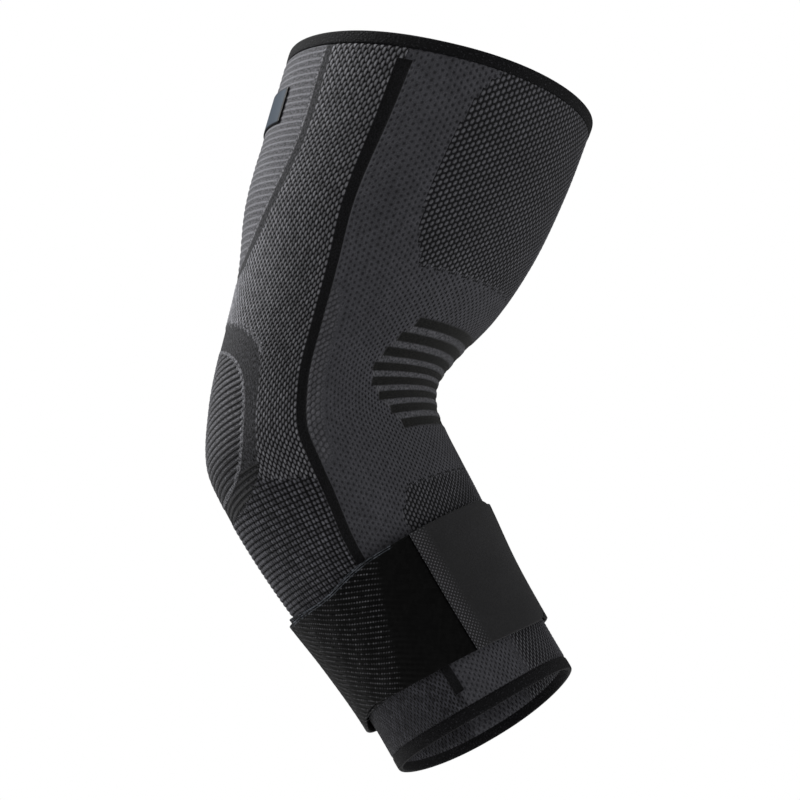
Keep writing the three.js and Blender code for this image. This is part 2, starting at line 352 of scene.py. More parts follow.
print("ribs over the elbow:", round((RIBBED_FIELD["up"] + RIBBED_FIELD["down"]) / RIB_PITCH))

# %% [markdown]
# The relief is the height of the cloth over the sleeve's face, in millimetres. It lays one zone over the
# next, each by a soft step over its edge: the panel's loops first, then the waffle, the borders and the
# ribs. The stripes and the crook's bars are grooves. Modifiers could carve such forms too, but a formula
# keeps each form on the same rows and columns that the colours use.

# %% Heights of the cloth
LOOP_FOOT, LOOP_RISE, LOOP_ROUND = 0.03, 0.55, 0.7
BRICK_FOOT, BRICK_RISE, BRICK_ROUND = 0.1, 0.45, 0.6
FURROW_DEPTH, FURROW_HALF = 0.5, 0.8
BORDER_FACE, FRONT_FACE, PINHOLE_DEPTH = 0.25, 0.12, 0.15
RIB_RISE, RIB_ROUND = 0.5, 0.6
ARM_RIB_FOOT, ARM_RIB_RISE, ARM_RIB_ROUND = 0.2, 0.22, 3.0
NET_FOOT, NET_RISE, CHAIN_RISE = -0.1, 0.3, 0.3
BAR_GROOVE, BAR_SLOPE = 0.3, 1.2
STRIPE_FLOOR, STRIPE_SLOPE = -0.5, 0.8


def lay(height, over, share):
    """One height laid over another: a mix of both by a share from 0 to 1."""
    return height + (over - height) * share


def dome(column, row, loop):
    """The stitch formula held between 0 and 1: flat ground with one dome for each loop."""
    return np.clip(stitch(column, row, *loop), 0, 1)


def back_relief(place, column, row, zones):
    """Domes over the panel, bricks between furrows in the waffle, flat borders, and ribs in both patches."""
    furrow = column / FURROW_COLUMNS - FURROW_SHIFT
    furrow = np.abs(furrow - np.round(furrow)) * FURROW_COLUMNS
    brick = dome(column / BRICK_COLUMNS, row * BRICKS_PER_ROW, WAFFLE_BRICK) ** BRICK_ROUND
    waffle = BRICK_FOOT + BRICK_RISE * brick - FURROW_DEPTH * (1 - smooth(furrow / FURROW_HALF))
    plain = BORDER_FACE - PINHOLE_DEPTH * dome(column, row, PINHOLE)
    ribs = RIB_RISE * ridge(zones["ribbed"], RIB_PITCH, RIB_ROUND)
    arm_ribs = ARM_RIB_FOOT + ARM_RIB_RISE * ridge(place, ARM_RIB_PITCH, ARM_RIB_ROUND)
    height = LOOP_FOOT + LOOP_RISE * dome(column, row, PANEL_LOOP) ** LOOP_ROUND
    height = lay(height, waffle, step_up(zones["waffle"]))
    height = lay(height, plain, step_up(PLAIN_TOP - place))
    height = lay(height, BORDER_FACE, step_up(zones["elbow"]))
    height = lay(height, ribs, step_up(zones["field"]))
    height = lay(height, BORDER_FACE, step_up(zones["arm"] + ARM_BORDER))
    return lay(height, arm_ribs, step_up(zones["arm"] - ARM_BORDER))


def front_relief(column, row, zones):
    """A soft face with pinholes, domes where the net and the chain are, and grooves for the crook's bars."""
    height = FRONT_FACE - PINHOLE_DEPTH * dome(column, row, PINHOLE)
    ovals = NET_FOOT + NET_RISE * dome(column, row, NET_LOOP) ** LOOP_ROUND
    height = lay(height, ovals, step_up(zones["net"]))
    twisted = CHAIN_RISE * dome(column, row, CHAIN_LOOP) ** LOOP_ROUND
    height = lay(height, twisted, zones["chain"])
    return height - BAR_GROOVE * step_up(zones["bars"], BAR_SLOPE)


print("loops stand", LOOP_FOOT + LOOP_RISE, "mm over the face, stripes lie", -STRIPE_FLOOR, "mm under it")

# %% [markdown]
# Every knit piece is a closed shell: a fine outer grid, a coarser inner one, and a rim that joins them.
# The faces are numbered as whole arrays. An inner point stands behind every fourth outer one, so a rim face
# has five outer corners and two inner ones. A Solidify modifier could give the wall, but it would make the
# hidden inside as fine as the outside.

# %% Turn grids into closed meshes


def quads(first, rows, columns, flip):
    """Corner numbers of the faces of a grid whose first point has the number given."""
    number = first + np.arange(rows * columns).reshape(rows, columns)
    corners = [number[:-1, :-1], number[:-1, 1:], number[1:, 1:], number[1:, :-1]]
    faces = np.stack(corners[::-1] if flip else corners, axis=-1)
    return faces.reshape(-1, 4)


def tube_faces(rows, columns, joined):
    """Corner numbers and faces of a grid that closes across its columns, and from its last row to its first
    one too if joined is 1."""
    number = np.arange(rows * columns).reshape(rows, columns)
    number = np.pad(number, ((0, joined), (0, 1)), mode="wrap")
    corners = [number[:-1, :-1], number[1:, :-1], number[1:, 1:], number[:-1, 1:]]
    return number, np.stack(corners, axis=-1).reshape(-1, 4)


def rim(outer, inner):
    """Faces between a row of outer numbers and the coarser row of inner ones behind it."""
    steps = np.arange(len(inner) - 1)
    fine = outer[steps[:, None] * COARSE + np.arange(COARSE + 1)]
    return np.concatenate([fine[:, ::-1], inner[steps][:, None], inner[steps + 1][:, None]], axis=1)


def new_piece(name, points, groups, soft_groups):
    """A mesh object from points in millimetres and groups of faces; the groups named as soft shade smooth."""
    mesh = bpy.data.meshes.new(name)
    corners = np.concatenate([g.ravel() for g in groups]).astype(np.int32)
    sizes = np.concatenate([np.full(len(g), g.shape[1]) for g in groups])
    soft = np.concatenate([np.full(len(g), i in soft_groups) for i, g in enumerate(groups)])
    mesh.vertices.add(len(points))
    mesh.vertices.foreach_set("co", (points / 1000).astype(np.float32).ravel())
    mesh.loops.add(len(corners))
    mesh.loops.foreach_set("vertex_index", corners)
    mesh.polygons.add(len(sizes))
    mesh.polygons.foreach_set("loop_start", np.concatenate([[0], np.cumsum(sizes)[:-1]]).astype(np.int32))
    mesh.polygons.foreach_set("use_smooth", soft)
    mesh.update(calc_edges=True)
    mesh.validate()
    made = bpy.data.objects.new(name, mesh)
    bpy.context.scene.collection.objects.link(made)
    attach(made, "root")
    return made


def store(piece, uv, **values):
    """Keeps the pattern's rows and columns as the UV map, and each distance as an attribute of the points."""
    mesh = piece.data
    corners = np.empty(len(mesh.loops), np.int32)
    mesh.loops.foreach_get("vertex_index", corners)
    pattern = mesh.uv_layers.new(name="pattern")
    pattern.data.foreach_set("uv", uv[corners].astype(np.float32).ravel())
    for name, value in values.items():
        layer = mesh.attributes.new(name, "FLOAT", "POINT")
        layer.data.foreach_set("value", value.astype(np.float32).ravel())


def shell(name, outer, inner, flip):
    """A closed shell from an outer grid and an inner one, both as rows by columns of points."""
    rows, columns = outer.shape[:2]
    few_rows, few_columns = inner.shape[:2]
    number = np.arange(rows * columns).reshape(rows, columns)
    behind = rows * columns + np.arange(few_rows * few_columns).reshape(few_rows, few_columns)
    rims = [
        rim(number[0], behind[0]), rim(number[-1][::-1], behind[-1][::-1]),
        rim(number[:, 0][::-1], behind[:, 0][::-1]), rim(number[:, -1], behind[:, -1]),
    ]
    if flip:
        rims = [r[:, ::-1] for r in rims]
    groups = [quads(0, rows, columns, flip), quads(rows * columns, few_rows, few_columns, not flip), *rims]
    points = np.concatenate([outer.reshape(-1, 3), inner.reshape(-1, 3)])
    return new_piece(name, points, groups, {0, 1})


def surface_of(piece):
    """The piece's name and its number of triangles."""
    faces = piece.data.polygons
    sizes = np.empty(len(faces), np.int32)
    faces.foreach_get("loop_total", sizes)
    return f"{piece.name}: {int((sizes - 2).sum())} triangles"


print("a grid of 3 by 3 points has", len(quads(0, 3, 3, False)), "faces")

# %% [markdown]
# The sleeve is made as four shells that meet in the stripes' grooves and in the middle of the front and the
# back. The near and the far side mirror each other, as the two halves of a knitted brace do.

# %% Distances kept for each panel
BACK_POINTS, FRONT_POINTS = (3, 5), (3, 4)
TUCKED, TUCKED_STEP = 4, 0.9
TUCK_START, TUCK_DEPTH, TUCK_SLOPE = 0.4, 0.3, 0.8
CLOSED, OPEN_FROM, OPEN_REACH = 0.65, 88.0, 35.0


def turn_at(place, share, back):
    """The angle at a share of the panel's width: stripe plus a share of the rest to 180 degrees behind, or a
    share of the stripe's own angle in front."""
    edge = stripe_angle(place)
    return edge + (180 - edge) * share if back else edge * share


def back_zones(place, turn, loop_place, loop_turn):
    """Distances inside the zones of the back. The elbow's patch and the waffle end at whole loops, so theirs
    are measured at the loop's middle."""
    return {
        "elbow": in_oval(loop_place, loop_turn, ELBOW_PATCH), "waffle": in_waffle(loop_place, loop_turn),
        "field": in_oval(place, turn, RIBBED_FIELD), "arm": in_arm_patch(place, turn),
        "ribbed": rib_place(place, turn),
    }


def front_zones(place, turn, loop_place, loop_turn):
    """Distances inside the zones of the front, the nets at whole loops, and how open the pinholes are."""
    return {
        "net": np.maximum(in_net(loop_place, loop_turn), in_low_net(loop_place, loop_turn)),
        "bars": in_bars(place, turn), "crook": in_crook(place, turn), "chain": chain(place, turn),
        "open": CLOSED + (1 - CLOSED) * smooth((OPEN_FROM - turn) / OPEN_REACH),
    }


print("grid points to a loop:", BACK_POINTS, "on the back,", FRONT_POINTS, "on the front")

# %% Knit the four panels


def panel(name, back, side):
    """One quarter of the sleeve: from the stripe to the back, or from the crook to the stripe. The grid has
    a whole number of points to each column and row of loops, so the loops keep their shape all over."""
    across, up = BACK_POINTS if back else FRONT_POINTS
    place, row = places_of_rows(BACK_ROWS if back else FRONT_ROWS, up)
    count = BACK_COLUMNS if back else FRONT_COLUMNS
    column = np.arange(count * across + 1 + (0 if back else TUCKED)) / across
    place, row, column = place[:, None], row[:, None] + 0 * column, column + 0 * place[:, None]
    turn = turn_at(place, column / count, back)
    loop_column, loop_row = nearest_loop(column, row)
    loop_place = np.interp(loop_row, row[:, 0], place[:, 0])
    loop_turn = turn_at(loop_place, loop_column / count, back)
    if back:
        zones = back_zones(place, turn, loop_place, loop_turn)
        height = back_relief(place, column, row, zones)
    else:
        zones = front_zones(place, turn, loop_place, loop_turn)
        height = front_relief(column, row, zones)
    zones["stripe"] = in_stripe(place, turn)
    zones["along"] = place + 0 * turn
    height = lay(height, STRIPE_FLOOR, step_up(zones["stripe"], STRIPE_SLOPE))
    beyond = 0 if back else (column - FRONT_COLUMNS) * TUCKED_STEP
    hidden = np.maximum(np.maximum(place - KNIT_TOP, KNIT_BOTTOM - place), beyond - TUCK_START)
    height = lay(height, -TUCK_DEPTH, step_up(hidden, TUCK_SLOPE))
    coarse = (slice(None, None, COARSE), slice(None, None, COARSE))
    inner = skin(place[::COARSE], (side * turn)[coarse], -KNIT_WALL)
    piece = shell(name, skin(place, side * turn, height), inner, (side > 0) == back)
    both = {k: np.concatenate([v.ravel(), v[coarse].ravel()]) for k, v in zones.items()}
    uv = np.stack([column, row], axis=-1)
    store(piece, np.concatenate([uv.reshape(-1, 2), uv[coarse].reshape(-1, 2)]), **both)
    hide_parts("knit_sleeve")
    print(surface_of(piece))
    return piece


back_near = panel("back_panel_near", True, -1)
back_far = panel("back_panel_far", True, 1)
front_near = panel("front_panel_near", False, -1)
front_far = panel("front_panel_far", False, 1)

# %% [markdown]
# The hems are thicker knitted bands that end the sleeve. A torus would be too round, so their section is a
# rounded rectangle, carried round the rim by the sleeve's own formula and nearly flush with the knit.

# %% Two hems
HEM_STEPS, HEM_POINTS, HEM_SQUARENESS, HEM_RADIUS = 720, 36, 4.5, 45.0


def ring(name, low, high, node):
    """A rounded rectangle carried round the sleeve: a superellipse in place and height, whose cosine and
    sine are raised to two over its squareness."""
    t = np.linspace(0, 2 * np.pi, HEM_POINTS + 1)[:-1][:, None]
    angle = np.linspace(-180, 180, HEM_STEPS + 1)[None, :-1]
    power = 2 / HEM_SQUARENESS
    up = np.sign(np.cos(t)) * np.abs(np.cos(t)) ** power
    out = np.sign(np.sin(t)) * np.abs(np.sin(t)) ** power
    place = (low + high) / 2 + up * (high - low) / 2
    height = HEM_PROUD - HEM_THICKNESS / 2 + out * HEM_THICKNESS / 2 + 0 * angle
    points = skin(place, angle, height)
    _, faces = tube_faces(*points.shape[:2], 1)
    piece = new_piece(name, points.reshape(-1, 3), [faces], {0})
    uv = np.stack([np.radians(angle) * HEM_RADIUS + 0 * t, place + 0 * angle], axis=-1)
    store(piece, uv.reshape(-1, 2), along=place + 0 * angle)
    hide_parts(node)
    print(surface_of(piece))
    return piece


top_band = ring("top_band", KNIT_TOP + CLEARANCE, UPPER_LENGTH, "top_hem")
bottom_band = ring("bottom_band", -FORE_LENGTH, KNIT_BOTTOM - CLEARANCE, "bottom_hem")

# %% [markdown]
# The strap is one long band of woven elastic. It starts on the far side, goes once and a half round the
# forearm, climbs over its own start, and ends in a soft felt tab on the near side. Cloth physics could wind
# it, but the stretched band lies so close to the sleeve that it can follow the sleeve's formula, lifted a
# little. Its path is a table of the angle with the place and the width as shares of their middle values.

# %% Path of the strap
STRAP_MIDDLE, STRAP_WIDTH, STRAP_THICKNESS = 83.7, 43.0, 1.2
STRAP_START, STRAP_SEAM, STRAP_CLIMB, CLIMB_LEAD = -200.0, 280.5, 40.0, 1.2
TAB_TURN, TAB_THICKNESS, TAB_CORNER = 55.5, 1.6, 6.0
STRAP_PATH = np.array([
    [-200, 1.05, 0.98], [-180, 1.05, 0.98], [-130, 1.042, 0.9], [-100, 1.002, 0.95], [-75, 1.004, 0.95],
    [0, 1.03, 1.08], [90, 1.05, 1.0], [180, 1.08, 1.0], [215, 1.047, 0.88], [235, 1.045, 0.91],
    [260, 1.023, 1.01], [285, 1.017, 1.065], [310, 1.018, 1.11], [336, 1.02, 1.12],
])
strap_middle = through(STRAP_PATH[:, 0], -STRAP_MIDDLE * STRAP_PATH[:, 1])
strap_width = through(STRAP_PATH[:, 0], STRAP_WIDTH * STRAP_PATH[:, 2])
OUTER_EDGE, INNER_EDGE, INNER_POINTS = 0.993, 0.99, 9
ROUND_EDGE = np.array([[1.0, 0.8], [1.0, 0.5], [1.0, 0.2]])
# added to the distance from the upper edge on the strap's lower half, so that the painted edge highlight
# doesn't show there
LOWER_HALF = 9.0


def strap_height(angle):
    """Height of the strap's inner face: flat on the sleeve, then up over its own start."""
    climb = smooth((angle - (STRAP_START + 360)) / STRAP_CLIMB + CLIMB_LEAD)
    return PANEL_PROUD + CLEARANCE + (STRAP_THICKNESS + CLEARANCE) * climb


def smooth_face(angle, offset):
    """No relief: zero all over."""
    return 0 * angle * offset


def strip_outline(face_steps):
    """Outline of a flat strip, in shares of its half width and thickness: up the outer face, round the edge,
    back along the inner face and round the other edge."""
    outer = np.stack([np.linspace(-1, 1, face_steps) * OUTER_EDGE, np.ones(face_steps)], axis=1)
    inner = np.stack([np.linspace(INNER_EDGE, -INNER_EDGE, INNER_POINTS), np.zeros(INNER_POINTS)], axis=1)
    return np.concatenate([outer, ROUND_EDGE, inner, ROUND_EDGE[::-1] * [-1, 1]])


def band(name, angle, middle, width, low, thickness, face_steps, relief):
    """A flat strip with rounded edges, wound on the sleeve. Its outline is carried along the angles given,
    and relief lifts the outer face."""
    outline = strip_outline(face_steps)
    angle = angle[:, None]
    offset = outline[None, :, 0] * width[:, None] / 2
    share = outline[None, :, 1]
    lift = np.zeros((len(angle), len(outline)))
    lift[:, :face_steps] = relief(angle, offset[:, :face_steps])
    place = middle[:, None] + offset
    points = skin(place, angle, low[:, None] + share * thickness + lift)
    number, faces = tube_faces(*points.shape[:2], 0)
    ends = [number[0:1, :-1], number[-1:, :-1][:, ::-1]]
    piece = new_piece(name, points.reshape(-1, 3), [faces, *ends], {0})
    steps = np.linalg.norm(np.diff(points[:, face_steps // 2], axis=0), axis=1)
    length = np.concatenate([[0], np.cumsum(steps)])[:, None]
    uv = np.stack([length + 0 * offset, offset + 0 * length], axis=-1)
    edge = width[:, None] / 2 - np.abs(offset)
    end = np.minimum(length, length[-1] - length) + 0 * offset
    upper = edge + np.where(offset > 0, 0, LOWER_HALF)
    store(piece, uv.reshape(-1, 2), edge=edge, end=end, turn=angle + 0 * offset, upper=upper)
    print(surface_of(piece), "length", round(float(length[-1, 0])), "mm")
    return piece


print("strap:", round((STRAP_SEAM - STRAP_START) / 360, 2), "turns to the tab's seam")

# %% [markdown]
# The strap's weave stands out as low slanting ridges. The tab is cut from felt with two round corners, so
# each of its edges follows a quarter circle over its last millimetres.

# %% Wind the strap, sew its tab
WEAVE_ROW, WEAVE_STEP, WEAVE_SLANT, WEAVE_HEIGHT = 1.78, 0.95, math.radians(38), 0.1
STRAP_STEPS, STRAP_ACROSS = 560, 88
TAB_STEPS, CORNER_STEPS, CORNER_SHARE = 90, 24, 0.97


def weave(angle, offset):
    """Low ridges of the woven elastic, slanting across the strap: a cosine of the distance from a ridge."""
    length = np.radians(angle) * half_width(-STRAP_MIDDLE)
    distance = length * math.sin(WEAVE_SLANT) + offset * math.cos(WEAVE_SLANT)
    return WEAVE_HEIGHT * np.cos(2 * np.pi * distance / WEAVE_ROW)


wound = np.linspace(STRAP_START, STRAP_SEAM, STRAP_STEPS)
strap = band(
    "elastic_strap", wound, strap_middle(wound), strap_width(wound), strap_height(wound), STRAP_THICKNESS,
    STRAP_ACROSS, weave,
)
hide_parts("strap")

corner = math.degrees(TAB_CORNER / half_depth(-STRAP_MIDDLE))
tab_end = STRAP_SEAM + TAB_TURN
sewn = np.concatenate([
    np.linspace(STRAP_SEAM, tab_end - corner, TAB_STEPS)[:-1],
    tab_end - corner * (1 - np.sin(np.linspace(0, np.pi / 2 * CORNER_SHARE, CORNER_STEPS))),
])
cut = np.clip((sewn - tab_end + corner) / corner, 0, 1)
tab_width = strap_width(sewn) - 2 * TAB_CORNER * (1 - np.sqrt(1 - cut ** 2))
tab = band(
    "felt_tab", sewn, strap_middle(sewn), tab_width, strap_height(sewn), TAB_THICKNESS,
    STRAP_ACROSS, smooth_face,
)
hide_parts("strap_tab")

# %% [markdown]
# The label is a short flat strip like the strap, sewn over the ribs on the back of the upper arm. It could be
# a plain box, but it has to bend round the arm, so the strap's function makes it, just clear of the ribs.

# %% Sew the label on the back
LABEL_DROP, LABEL_HEIGHT, LABEL_TURN, LABEL_THICKNESS, LABEL_LIFT = 23.7, 12.6, 60.0, 0.6, 0.1
LABEL_STEPS, LABEL_ACROSS = 90, 30
label_angle = np.linspace(180 - LABEL_TURN / 2, 180 + LABEL_TURN / 2, LABEL_STEPS)
same = np.ones(LABEL_STEPS)
label = band(
    "woven_label", label_angle, same * (UPPER_LENGTH - LABEL_DROP), same * LABEL_HEIGHT,
    same * (PANEL_PROUD + LABEL_LIFT), LABEL_THICKNESS - LABEL_LIFT, LABEL_ACROSS, smooth_face,
)
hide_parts("label")

# %% [markdown]
# Materials come next. Colours are written as they look on a screen, and one function turns them to the
# linear values that the shader needs. One small function adds a node, sets it and links it. A picture of
# cloth could be wrapped round the sleeve instead, but formulas keep the stitches sharp from close by.

# %% Colour and node helpers
SHEEN_ROUGHNESS, LOOP_FLOOR = 0.45, -0.3


def linear(hex_colour):
    """sRGB hex to linear red, green, blue and alpha: the low end is a line, the rest a power of 2.4."""
    parts = np.array([int(hex_colour[i:i + 2], 16) for i in (1, 3, 5)]) / 255
    values = np.where(parts <= 0.04045, parts / 12.92, ((parts + 0.055) / 1.055) ** 2.4)
    return (*values.tolist(), 1.0)


def add(tree, kind, inputs, out=0, **settings):
    """Adds one node with its settings, fills or links its inputs, and returns one of its outputs."""
    made = tree.nodes.new(kind)
    for name, value in settings.items():
        setattr(made, name, value)
    for key, value in inputs.items():
        if isinstance(value, bpy.types.NodeSocket):
            tree.links.new(value, made.inputs[key])
        else:
            made.inputs[key].default_value = value
    return made.outputs[out]


def work_out(tree, wires, recipe):
    """Works out a formula step by step: each step names its result, an operation and what goes in."""
    for result, operation, *values in recipe:
        inputs = {i: wires[v] if isinstance(v, str) else v for i, v in enumerate(values)}
        wires[result] = add(tree, "ShaderNodeMath", inputs, operation=operation)
    return wires


print("white is", linear("#ffffff"))

# %% Start a material, give it the stitch formula


def new_material(name, roughness, sheen, gloss=0.12):
    """An empty principled material with the sockets that are the same all over."""
    made = bpy.data.materials.new(name)
    made.use_nodes = True
    tree = made.node_tree
    shader = tree.nodes["Principled BSDF"]
    shader.inputs["Roughness"].default_value = roughness
    shader.inputs["Sheen Weight"].default_value = sheen
    shader.inputs["Sheen Roughness"].default_value = SHEEN_ROUGHNESS
    shader.inputs["Specular IOR Level"].default_value = gloss
    return made, tree, shader


def pattern_wires(tree, *names):
    """The pattern's column and row from the UV map, and the stored distances by name."""
    uv = add(tree, "ShaderNodeUVMap", {}, uv_map="pattern")
    split = tree.nodes.new("ShaderNodeSeparateXYZ")
    tree.links.new(uv, split.inputs[0])
    wires = {"column": split.outputs[0], "row": split.outputs[1]}
    for name in names:
        wires[name] = add(tree, "ShaderNodeAttribute", {}, out=2, attribute_name=name)
    return wires


def loops_recipe(tag, column, row, lean, wide, tall, push=0.5):
    """The steps of the stitch formula, held above a floor. The names of its results end in the tag."""
    return [
        ("number" + tag, "ROUND", column),
        ("x" + tag, "SUBTRACT", column, "number" + tag),
        ("pushed" + tag, "MULTIPLY_ADD", "number" + tag, -push, row),
        ("whole" + tag, "ROUND", "pushed" + tag),
        ("y" + tag, "SUBTRACT", "pushed" + tag, "whole" + tag),
        ("leant" + tag, "MULTIPLY_ADD", "y" + tag, -lean, "x" + tag),
        ("sx" + tag, "DIVIDE", "leant" + tag, wide),
        ("sy" + tag, "DIVIDE", "y" + tag, tall),
        ("sx2" + tag, "MULTIPLY", "sx" + tag, "sx" + tag),
        ("sum" + tag, "MULTIPLY_ADD", "sy" + tag, "sy" + tag, "sx2" + tag),
        ("free" + tag, "SUBTRACT", 1.0, "sum" + tag),
        ("loop" + tag, "MAXIMUM", "free" + tag, LOOP_FLOOR),
    ]


def yarns_and_shade_by_height(tree, relief, dark, light, low=-0.1, high=0.5):
    """Dark colour in the gaps and light colour on the raised parts, with a soft edge between two heights. On
    most cloths these are two yarns; on the back panel's loops and bricks they also paint shade in the gaps
    and light on the tops, and on the strap the light colour is a painted glint.
    """
    colours = [linear(c) if isinstance(c, str) else c for c in (dark, light)]
    share = add(tree, "ShaderNodeMapRange", {0: relief, 1: low, 2: high}, interpolation_type="SMOOTHSTEP")
    return add(tree, "ShaderNodeMix", {0: share, 6: colours[0], 7: colours[1]}, out=2, data_type="RGBA")


print("steps in the stitch formula:", len(loops_recipe("", "column", "row", *PANEL_LOOP)))

# %% [markdown]
# A zone's edge is a short soft step on its distance. The same noise of fibres and faint clouds breaks up the
# colour of every piece of cloth: a fibre's shade changes within half a millimetre, a cloud's in about 14.

# %% Lay zones, shade loops, add fibres
FIBRES_PER_METRE, CLOUDS_PER_METRE = 2200.0, 70.0
NOISE_LOW, NOISE_HIGH, CLOUD_SPREAD, FIBRE_RELIEF = 0.3, 0.7, 0.08, 0.35
OWN_SHADE = 0.28
DASH_LOW, DASH_HIGH = 0.35, 0.65


def inside(tree, distance, edge=0.15):
    """A soft step over a zone's edge, from 0 outside to 1 inside."""
    return add(tree, "ShaderNodeMapRange", {0: distance, 1: -edge, 2: edge}, interpolation_type="SMOOTHSTEP")


def lay_zones(tree, relief, colour, zones, edge=0.15):
    """Lays the relief and the colour of each zone over what is there, inside the zone's edge."""
    for over_relief, over_colour, distance in zones:
        share = inside(tree, distance, edge)
        relief = add(tree, "ShaderNodeMix", {0: share, 2: relief, 3: over_relief}, data_type="FLOAT")
        colour = add(tree, "ShaderNodeMix", {0: share, 6: colour, 7: over_colour}, out=2, data_type="RGBA")
    return relief, colour


def own_shade(tree, wires, tag, spread=OWN_SHADE):
    """A random shade for each loop, from white noise on its column and row numbers."""
    number = add(tree, "ShaderNodeCombineXYZ", {0: wires["number" + tag], 1: wires["whole" + tag]})
    noise = add(tree, "ShaderNodeTexWhiteNoise", {"Vector": number}, noise_dimensions="3D")
    return add(tree, "ShaderNodeMapRange", {0: noise, 3: 1 - spread, 4: 1 + spread})


def finish_knit(tree, shader, relief, colour, depth, grain, own=1.0):
    """Fine fibres and each loop's own shade break up the colour by the grain, a share, and the relief bends
    the light by a depth in millimetres."""
    where = add(tree, "ShaderNodeTexCoord", {}, out=3)
    fine = {"Vector": where, "Scale": FIBRES_PER_METRE, "Detail": 3.0, "Roughness": 0.65}
    fibres = add(tree, "ShaderNodeTexNoise", fine)
    cloudy = add(tree, "ShaderNodeTexNoise", {"Vector": where, "Scale": CLOUDS_PER_METRE, "Detail": 2.0})
    spread = [(fibres, grain), (cloudy, CLOUD_SPREAD)]
    value, cloud = [
        add(tree, "ShaderNodeMapRange", {0: noise, 1: NOISE_LOW, 2: NOISE_HIGH, 3: 1 - part, 4: 1 + part})
        for noise, part in spread
    ]
    both = add(tree, "ShaderNodeMath", {0: value, 1: cloud}, operation="MULTIPLY")
    every = add(tree, "ShaderNodeMath", {0: both, 1: own}, operation="MULTIPLY")
    shade = add(tree, "ShaderNodeHueSaturation", {"Value": every, "Color": colour})
    tree.links.new(shade, shader.inputs["Base Color"])
    rough = add(tree, "ShaderNodeMath", {0: fibres, 1: FIBRE_RELIEF, 2: relief}, operation="MULTIPLY_ADD")
    bump = add(tree, "ShaderNodeBump", {"Height": rough, "Distance": depth / 1000, "Strength": 1.0})
    tree.links.new(bump, shader.inputs["Normal"])


def melange(tree, wires, dark, light, across=1.1, along=2.6):
    """Two yarns knitted as one: short dashes of both along the rows, from a noise stretched that way."""
    place = add(tree, "ShaderNodeCombineXYZ", {0: wires["column"], 1: wires["along"]})
    dashes = add(tree, "ShaderNodeMapping", {"Vector": place, "Scale": (across, along, 1)})
    noise = add(tree, "ShaderNodeTexNoise", {"Vector": dashes, "Scale": 1.0, "Detail": 1.0})
    return yarns_and_shade_by_height(tree, noise, dark, light, DASH_LOW, DASH_HIGH)


def dress(material, *pieces):
    """Gives a finished material to its pieces."""
    for piece in pieces:
        piece.data.materials.append(material)
    nodes = len(material.node_tree.nodes)
    print(f"{material.name}: {nodes} nodes, on", ", ".join(piece.name for piece in pieces))


fibre, cloud = round(1000 / FIBRES_PER_METRE, 2), round(1000 / CLOUDS_PER_METRE, 1)
print("noise: fibres every", fibre, "mm, clouds every", cloud, "mm")

# %% [markdown]
# The back panel is a two colour knit of polyamide yarn over an elastic thread: light grey loops stand on a
# nearly black ground. Its colour follows each loop's height, pale on the top and dark in the gaps, so besides
# the two yarns it paints the loops' rounding and the shade between them; the waffle's bricks are coloured
# the same way. The borders of both patches are a melange of black and grey, which the eye reads as fine
# dashes, and the ribs are grey with dark valleys. Each loop has a shade of its own, as no two lie alike.

# %% Polyamide and elastane, knitted in relief: formulas of the back panel
# rims, outline and low border are in millimetres from their zone's edge or from the elbow
GROUND_YARN_AND_SHADE, STRIPE_YARNS = "#141416", ("#070708", "#161618", 3.0, 1.5)
FURROW_SHARE, FURROW_FLOOR, BRICK_SHADE = 9.0, -0.8, 0.4
FIELD_RIM, ARM_RIM, OUTLINE, OUTLINE_FROM, LOW_BORDER = 0.9, 1.0, 1.0, 10.0, -21.0
knit_back, tree, shader = new_material("Polyamide yarn, knitted in relief", roughness=0.85, sheen=0.06)
wires = pattern_wires(tree, "elbow", "field", "arm", "waffle", "stripe", "along", "ribbed")
work_out(tree, wires, loops_recipe("1", "column", "row", *PANEL_LOOP))
work_out(tree, wires, [
    ("brick_column", "DIVIDE", "column", BRICK_COLUMNS),
    ("brick_row", "MULTIPLY", "row", BRICKS_PER_ROW),
])
work_out(tree, wires, loops_recipe("2", "brick_column", "brick_row", *WAFFLE_BRICK))
work_out(tree, wires, loops_recipe("3", "column", "row", *PINHOLE))
work_out(tree, wires, [
    ("pair", "MULTIPLY_ADD", "column", 1 / FURROW_COLUMNS, -FURROW_SHIFT),
    ("near", "ROUND", "pair"),
    ("off", "SUBTRACT", "pair", "near"),
    ("furrow", "ABSOLUTE", "off"),
    ("deep", "MULTIPLY_ADD", "furrow", FURROW_SHARE, FURROW_FLOOR),
    ("brick", "MINIMUM", "deep", "loop2"),
    ("rib_turn", "MULTIPLY", "ribbed", 2 * math.pi / RIB_PITCH),
    ("rib", "COSINE", "rib_turn"),
    ("arm_turn", "MULTIPLY", "along", 2 * math.pi / ARM_RIB_PITCH),
    ("arm_rib", "COSINE", "arm_turn"),
    ("field_in", "SUBTRACT", "field", FIELD_RIM),
    ("below", "SUBTRACT", LOW_BORDER, "along"),
    ("low_border", "MINIMUM", "elbow", "below"),
    ("outline", "ADD", "elbow", OUTLINE),
    ("high", "SUBTRACT", "along", OUTLINE_FROM),
    ("high_outline", "MINIMUM", "outline", "high"),
    ("arm_out", "ADD", "arm", ARM_BORDER),
    ("patches", "MAXIMUM", "elbow", "arm_out"),
    ("arm_in", "SUBTRACT", "arm", ARM_BORDER),
    ("arm_line", "SUBTRACT", "arm", ARM_BORDER + ARM_RIM),
    ("plain", "SUBTRACT", 0.5, "loop3"),
    ("plain_in", "SUBTRACT", PLAIN_TOP, "along"),
])
print("steps worked out for the back panel:", len(wires))

